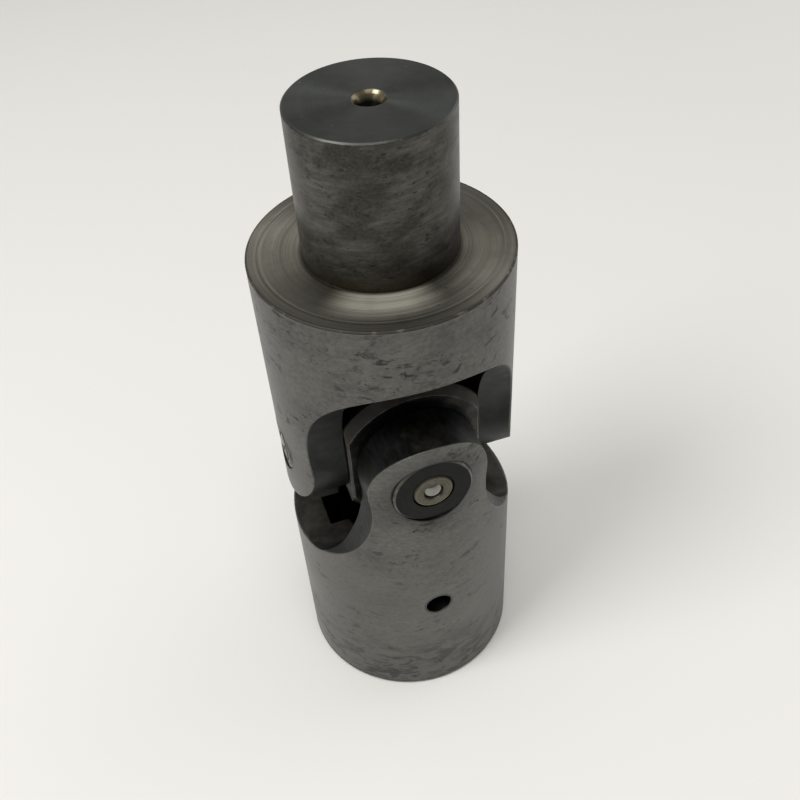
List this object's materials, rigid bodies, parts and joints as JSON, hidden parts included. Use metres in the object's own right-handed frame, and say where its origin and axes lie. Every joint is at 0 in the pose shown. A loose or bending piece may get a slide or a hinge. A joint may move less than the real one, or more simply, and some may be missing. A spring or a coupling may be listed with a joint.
{
  "type": "universal joint",
  "caption": "Pin-and-block universal joint: a keyed, bored hub and a solid shank, each ending in a forked yoke, hinge on a steel block with oil-fed pins.",
  "frame": {"origin": "centre of the lower hub's end face, on the shaft axis, where the joint stands", "axes": "+Z along the shaft axis towards the solid shank; +Y along the lower yoke's long pin; +X along the upper yoke's short pins; the keyway is on the -X side"},
  "size_m": [0.0382, 0.0382, 0.1095],
  "materials": {
    "yoke_steel": "satin ground steel, mottled with stains",
    "block_steel": "oil-blackened turned steel with bright worn edges",
    "pin_steel": "dark hardened steel, faced end",
    "oiler_steel": "dull brownish steel cup",
    "ball_steel": "polished steel ball",
    "spring_steel": "drawn wire",
    "lock_steel": "ground dowel"
  },
  "bodies": {
    "lower_yoke": {"lower_yoke": "yoke_steel"},
    "cross": {"center_block": "block_steel", "long_pin": "pin_steel", "short_pin_left": "pin_steel", "short_pin_right": "pin_steel", "lock_pin_left": "lock_steel", "lock_pin_right": "lock_steel", "oiler_body_front": "oiler_steel", "oiler_body_back": "oiler_steel", "oiler_body_left": "oiler_steel", "oiler_body_right": "oiler_steel", "oiler_spring_front": "spring_steel", "oiler_spring_back": "spring_steel", "oiler_spring_left": "spring_steel", "oiler_spring_right": "spring_steel"},
    "upper_yoke": {"upper_yoke": "yoke_steel"},
    "ball_front": {"oiler_ball_front": "ball_steel"},
    "ball_back": {"oiler_ball_back": "ball_steel"},
    "ball_left": {"oiler_ball_left": "ball_steel"},
    "ball_right": {"oiler_ball_right": "ball_steel"}
  },
  "joints": [
    {"name": "lower_pivot", "type": "hinge", "parent": "lower_yoke", "child": "cross", "pos_m": [0, 0, 0.05477], "axis": [0, 1, 0], "range_deg": [-30, 30]},
    {"name": "upper_pivot", "type": "hinge", "parent": "cross", "child": "upper_yoke", "pos_m": [0, 0, 0.05477], "axis": [1, 0, 0], "range_deg": [-30, 30]},
    {"name": "oiler_ball_front_travel", "type": "slide", "parent": "cross", "child": "ball_front", "axis": [0, 1, 0], "range_m": [0, 0.0005], "stiffness_N_per_m": 300, "springref_m": -0.0005, "deforming": ["oiler_spring_front"]},
    {"name": "oiler_ball_back_travel", "type": "slide", "parent": "cross", "child": "ball_back", "axis": [0, -1, 0], "range_m": [0, 0.0005], "stiffness_N_per_m": 300, "springref_m": -0.0005, "deforming": ["oiler_spring_back"]},
    {"name": "oiler_ball_left_travel", "type": "slide", "parent": "cross", "child": "ball_left", "axis": [1, 0, 0], "range_m": [0, 0.0005], "stiffness_N_per_m": 300, "springref_m": -0.0005, "deforming": ["oiler_spring_left"]},
    {"name": "oiler_ball_right_travel", "type": "slide", "parent": "cross", "child": "ball_right", "axis": [-1, 0, 0], "range_m": [0, 0.0005], "stiffness_N_per_m": 300, "springref_m": -0.0005, "deforming": ["oiler_spring_right"]}
  ]
}
